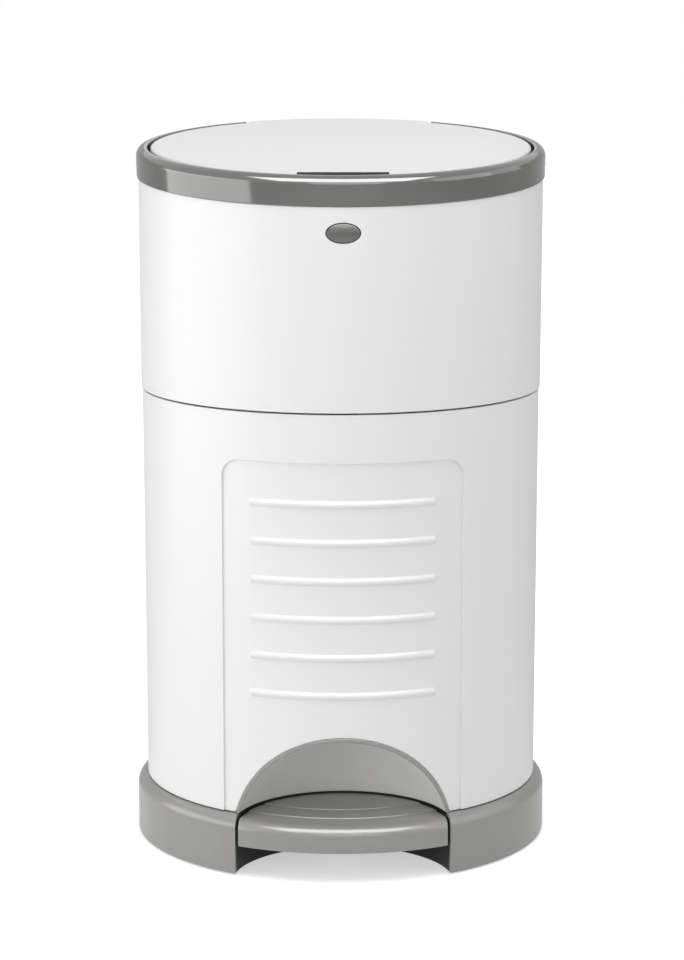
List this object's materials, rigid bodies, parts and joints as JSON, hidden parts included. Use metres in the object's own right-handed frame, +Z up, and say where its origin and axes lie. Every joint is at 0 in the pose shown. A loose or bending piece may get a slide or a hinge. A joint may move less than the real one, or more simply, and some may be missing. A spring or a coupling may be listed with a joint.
{
  "type": "nappy bin",
  "caption": "Tall round pedal nappy bin with a tilted flip lid, a trap-door hopper under a plunger, a film refill on a deck and a top section that tilts back.",
  "frame": {"origin": "on the floor, under the centre of the base ring", "axes": "+Z up, -Y to the front where the pedal is, +X to the right seen from the front"},
  "size_m": [0.252, 0.252, 0.4319],
  "materials": {
    "white_plastic": "satin moulded ABS",
    "grey_plastic": "satin warm grey moulding",
    "black_plastic": "matt black moulding",
    "black_rubber": "matt",
    "steel": "zinc plated",
    "cassette_plastic": "thin moulding",
    "film": "thin polythene film"
  },
  "bodies": {
    "base_and_lower_body": {"base_ring": "grey_plastic", "base_plate": "black_plastic", "base_screws": "steel", "rubber_feet": "black_rubber", "toe_recess": "grey_plastic", "pedal_pin": "steel", "pedal_spring": "steel", "rod_channel": "black_plastic", "lower_body": "white_plastic", "refill_deck": "grey_plastic", "refill_cassette": "cassette_plastic", "film_pack": "film", "liner_bag": "film", "cutter_holder": "white_plastic", "cutter_blade": "steel", "top_hinge_pin": "steel"},
    "pedal_assembly": {"pedal": "grey_plastic", "pedal_screws": "steel", "pedal_lever": "steel"},
    "lower_rod": {"lower_push_rod": "grey_plastic"},
    "top_section": {"upper_body": "white_plastic", "hopper": "grey_plastic", "hopper_screws": "steel", "flap_pins": "steel", "hinge_bracket": "grey_plastic", "rim_ring": "grey_plastic", "lid_seal": "black_rubber", "lid_hinge_pin": "steel", "latch_pin": "steel"},
    "upper_rod": {"upper_push_rod": "grey_plastic"},
    "lid_assembly": {"lid": "white_plastic", "lid_inner": "black_plastic", "lid_screws": "steel", "lid_crank": "steel", "crank_screws": "steel", "plunger": "grey_plastic", "plunger_skirt": "black_rubber", "plunger_screws": "steel"},
    "flap_l": {"flap_left": "grey_plastic", "flap_spring_left": "steel"},
    "flap_r": {"flap_right": "grey_plastic", "flap_spring_right": "steel"},
    "release_button": {"button": "grey_plastic"},
    "latch": {"latch_lever": "grey_plastic", "latch_spring": "steel"}
  },
  "joints": [
    {"name": "lid_open", "type": "hinge", "parent": "top_section", "child": "lid_assembly", "pos_m": [0, 0.11068, 0.42546], "axis": [-1, 0, 0], "range_deg": [0, 80]},
    {"name": "pedal_press", "type": "hinge", "parent": "base_and_lower_body", "child": "pedal_assembly", "pos_m": [0, -0.02, 0.016], "axis": [1, 0, 0], "range_deg": [0, 7.5], "stiffness_Nm_per_rad": 2, "springref_deg": -8.59, "deforming": ["pedal_spring"]},
    {"name": "lower_rod_lift", "type": "slide", "parent": "base_and_lower_body", "child": "lower_rod", "axis": [0, 0, 1], "range_m": [0, 0.01592]},
    {"name": "top_tilt", "type": "hinge", "parent": "base_and_lower_body", "child": "top_section", "pos_m": [0, 0.122, 0.277], "axis": [-1, 0, 0], "range_deg": [0, 80]},
    {"name": "upper_rod_lift", "type": "slide", "parent": "top_section", "child": "upper_rod", "axis": [0, 0, 1], "range_m": [0, 0.01592]},
    {"name": "flap_left_drop", "type": "hinge", "parent": "top_section", "child": "flap_l", "pos_m": [-0.057, 0, 0.29825], "axis": [0, 1, 0], "range_deg": [0, 75], "stiffness_Nm_per_rad": 0.02, "springref_deg": -34.38},
    {"name": "flap_right_drop", "type": "hinge", "parent": "top_section", "child": "flap_r", "pos_m": [0.057, 0, 0.29825], "axis": [0, -1, 0], "range_deg": [0, 75], "stiffness_Nm_per_rad": 0.02, "springref_deg": -34.38},
    {"name": "button_press", "type": "slide", "parent": "top_section", "child": "release_button", "axis": [0, 1, 0], "range_m": [0, 0.003], "stiffness_N_per_m": 300, "springref_m": -0.004},
    {"name": "latch_swing", "type": "hinge", "parent": "top_section", "child": "latch", "pos_m": [0, -0.1085, 0.33], "axis": [-1, 0, 0], "range_deg": [0, 3.43]}
  ],
  "couplings": [
    {"joint": "pedal_press", "follows": "lid_open", "ratio": 0.09375},
    {"joint": "lower_rod_lift", "follows": "lid_open", "m_per_rad": 0.011402},
    {"joint": "upper_rod_lift", "follows": "lid_open", "m_per_rad": 0.011402},
    {"joint": "latch_swing", "follows": "button_press", "rad_per_m": 19.976}
  ]
}
